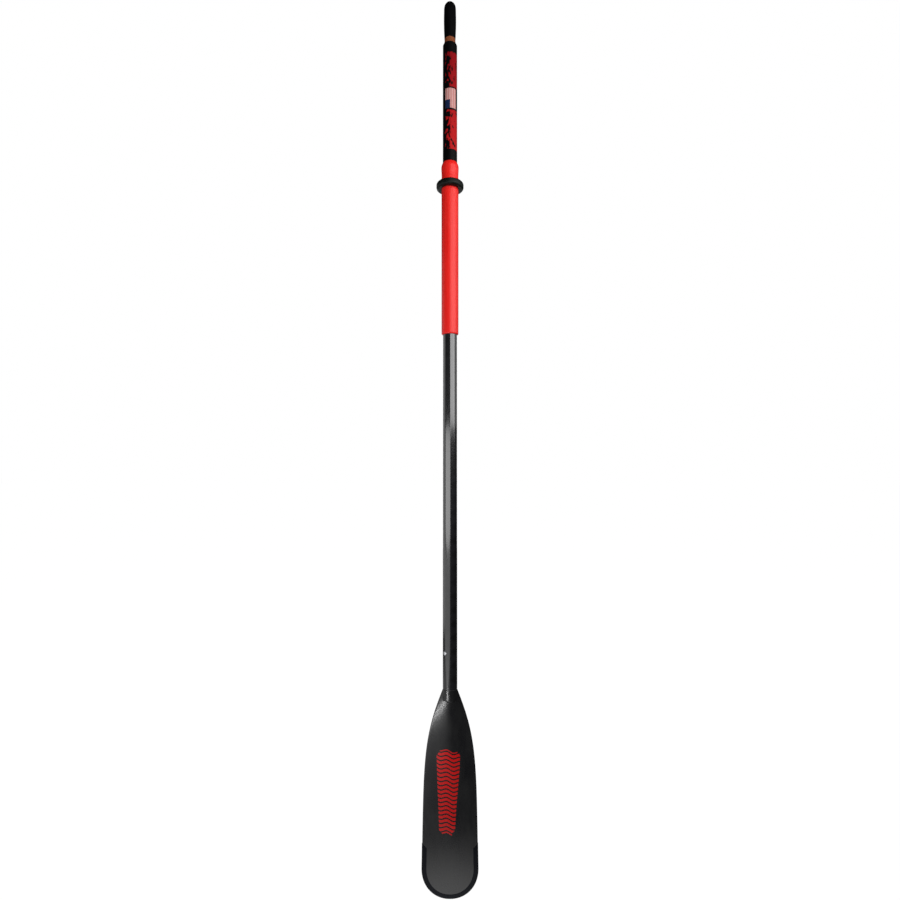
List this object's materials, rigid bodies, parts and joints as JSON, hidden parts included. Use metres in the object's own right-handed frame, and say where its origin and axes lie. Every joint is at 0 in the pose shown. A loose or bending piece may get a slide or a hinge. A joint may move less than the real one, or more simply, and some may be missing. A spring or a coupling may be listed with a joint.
{
  "type": "rowing oar",
  "caption": "Rowing oar with a composite shaft, wooden handle neck, rubber grip, red wear sleeve, sliding stopper and a flat blade that locks on with spring buttons.",
  "frame": {"origin": "on the shaft's axis at the stopper's lower, blade-side face, where the oar bears on the oarlock", "axes": "+Z along the shaft towards the grip, -Y out of the blade's front face, +X across the blade to the right seen from the front"},
  "size_m": [0.1746, 0.0829, 2.743],
  "materials": {
    "grip_rubber": "matte moulded rubber",
    "handle_wood": "varnished",
    "wrap_film": "black printed film with abstract red waves and a small striped panel",
    "shaft_composite": "clear-coated black fibre composite",
    "sleeve_plastic": "satin moulded red plastic",
    "stopper_rubber": "matte moulded rubber",
    "steel": "stainless, bright",
    "blade_composite": "satin dark grey composite",
    "guard_resin": "satin near-black resin",
    "foam": "rigid closed-cell foam"
  },
  "bodies": {
    "oar": {"grip": "grip_rubber", "handle_core": "handle_wood", "handle_pin": "steel", "graphic_wrap": "wrap_film", "shaft_tube": "shaft_composite", "bulkhead_plug": "foam", "oar_sleeve": "sleeve_plastic", "blade_ferrule": "shaft_composite", "ferrule_plug": "stopper_rubber", "ferrule_pin": "steel", "button_spring": "steel", "joint_gasket": "stopper_rubber", "blade_neck": "blade_composite", "blade_spine": "blade_composite", "blade_core_left": "foam", "blade_core_right": "foam", "front_skin": "blade_composite", "back_skin": "blade_composite", "tip_guard": "guard_resin"},
    "stopper": {"stopper_ring": "stopper_rubber", "stopper_screw": "steel", "stopper_washer_head": "steel", "stopper_washer_nut": "steel", "stopper_nut": "steel"},
    "button_left": {"snap_button_left": "steel"},
    "button_right": {"snap_button_right": "steel"}
  },
  "joints": [
    {"name": "stopper_slide", "type": "slide", "parent": "oar", "child": "stopper", "axis": [0, 0, 1], "range_m": [-0.41, 0.034]},
    {"name": "button_left_press", "type": "slide", "parent": "oar", "child": "button_left", "axis": [0.682, 0.7314, 0], "range_m": [0, 0.006], "stiffness_N_per_m": 1200, "springref_m": -0.004, "deforming": ["button_spring"]},
    {"name": "button_right_press", "type": "slide", "parent": "oar", "child": "button_right", "axis": [-0.682, -0.7314, 0], "range_m": [0, 0.006], "stiffness_N_per_m": 1200, "springref_m": -0.004, "deforming": ["button_spring"]}
  ]
}
